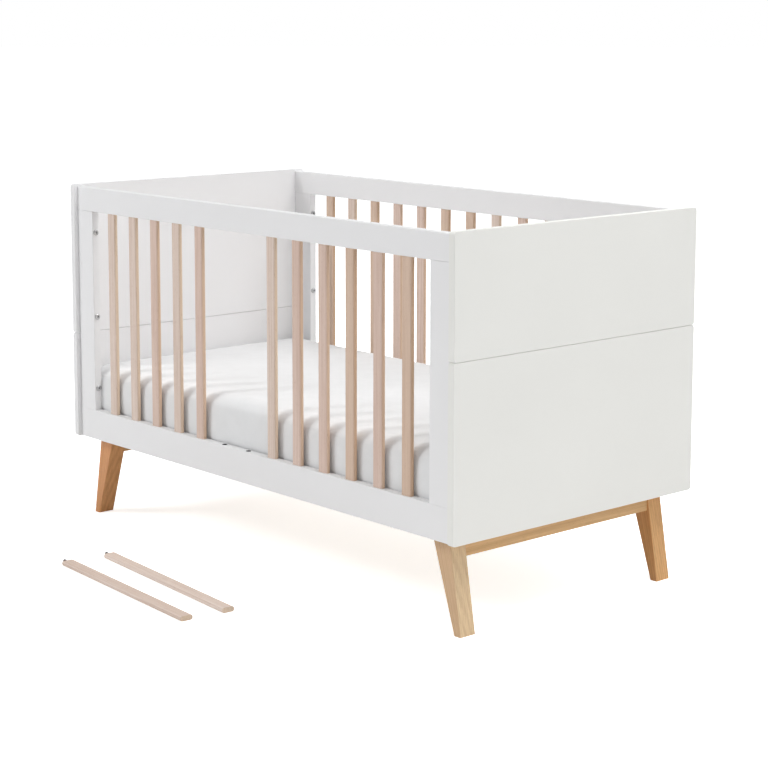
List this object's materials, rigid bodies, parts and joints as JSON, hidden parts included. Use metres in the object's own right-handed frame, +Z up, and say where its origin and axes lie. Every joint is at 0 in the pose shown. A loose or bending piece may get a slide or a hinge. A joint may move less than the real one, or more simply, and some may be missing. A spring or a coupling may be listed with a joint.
{
  "type": "baby cot",
  "caption": "Baby cot with board ends, barred sides, splayed wooden legs, a liftable slatted base, a mattress, and bars that come out of one side.",
  "frame": {"origin": "on the floor, in the middle of the footprint that the cot and its two loose bars cover together; the cot's own middle is at y = 0.1694 m", "axes": "+Z up, +X along the length towards the right end (the end whose taller board is at the bottom), -Y towards the front side, which has the two open bar places"},
  "size_m": [1.445, 1.1048, 0.873],
  "materials": {
    "white_paint": "satin white lacquer on fibreboard",
    "whitewashed_beech": "matt, whitewashed",
    "stained_beech": "satin, honey-coloured",
    "plain_pine": "matt, untreated",
    "plain_beech": "matt, untreated",
    "zinc_steel": "zinc plated",
    "dark_steel": "blackened",
    "white_sheet": "matt woven cotton"
  },
  "bodies": {
    "cot_frame": {"left_panel_lower": "white_paint", "left_panel_upper": "white_paint", "right_panel_lower": "white_paint", "right_panel_upper": "white_paint", "front_top_rail": "white_paint", "front_bottom_rail": "white_paint", "front_left_stile": "white_paint", "front_right_stile": "white_paint", "back_top_rail": "white_paint", "back_bottom_rail": "white_paint", "back_left_stile": "white_paint", "back_right_stile": "white_paint", "dowels": "plain_beech", "panel_inserts": "zinc_steel", "side_bolts": "zinc_steel", "front_left_leg": "stained_beech", "front_right_leg": "stained_beech", "back_left_leg": "stained_beech", "back_right_leg": "stained_beech", "left_cross_rail": "stained_beech", "right_cross_rail": "stained_beech", "left_bearer": "plain_pine", "right_bearer": "plain_pine", "leg_bolts": "zinc_steel", "base_brackets": "zinc_steel", "bracket_screws": "zinc_steel", "front_bar_1": "whitewashed_beech", "front_bar_2": "whitewashed_beech", "front_bar_3": "whitewashed_beech", "front_bar_4": "whitewashed_beech", "front_bar_5": "whitewashed_beech", "front_bar_8": "whitewashed_beech", "front_bar_9": "whitewashed_beech", "front_bar_10": "whitewashed_beech", "front_bar_11": "whitewashed_beech", "front_bar_12": "whitewashed_beech", "front_bar_13": "whitewashed_beech", "back_bar_1": "whitewashed_beech", "back_bar_2": "whitewashed_beech", "back_bar_3": "whitewashed_beech", "back_bar_4": "whitewashed_beech", "back_bar_5": "whitewashed_beech", "back_bar_6": "whitewashed_beech", "back_bar_7": "whitewashed_beech", "back_bar_8": "whitewashed_beech", "back_bar_9": "whitewashed_beech", "back_bar_10": "whitewashed_beech", "back_bar_11": "whitewashed_beech", "back_bar_12": "whitewashed_beech", "back_bar_13": "whitewashed_beech"},
    "mattress_base": {"base_side_rails": "plain_pine", "base_end_rails": "plain_pine", "base_slats": "plain_pine"},
    "mattress": {"mattress": "white_sheet"},
    "bar_6": {"removable_bar_6": "whitewashed_beech", "pin_spring_6": "zinc_steel"},
    "pin_6": {"spring_pin_6": "dark_steel"},
    "bar_7": {"removable_bar_7": "whitewashed_beech", "pin_spring_7": "zinc_steel"},
    "pin_7": {"spring_pin_7": "dark_steel"}
  },
  "joints": [
    {"name": "base_lift", "type": "slide", "parent": "cot_frame", "child": "mattress_base", "axis": [0, 0, 1], "range_m": [0, 0.24]},
    {"name": "mattress_lift", "type": "slide", "parent": "mattress_base", "child": "mattress", "axis": [0, 0, 1], "range_m": [0, 0.65]},
    {"name": "bar_6_lift", "type": "slide", "parent": "cot_frame", "child": "bar_6", "axis": [0, 0, 1], "range_m": [0, 0.3]},
    {"name": "pin_6_press", "type": "slide", "parent": "bar_6", "child": "pin_6", "axis": [0.9974, -0.0715, 0], "range_m": [0, 0.016], "stiffness_N_per_m": 400, "springref_m": -0.004, "deforming": ["pin_spring_6"]},
    {"name": "bar_7_lift", "type": "slide", "parent": "cot_frame", "child": "bar_7", "axis": [0, 0, 1], "range_m": [0, 0.3]},
    {"name": "pin_7_press", "type": "slide", "parent": "bar_7", "child": "pin_7", "axis": [0.9965, -0.0837, 0], "range_m": [0, 0.016], "stiffness_N_per_m": 400, "springref_m": -0.004, "deforming": ["pin_spring_7"]}
  ]
}
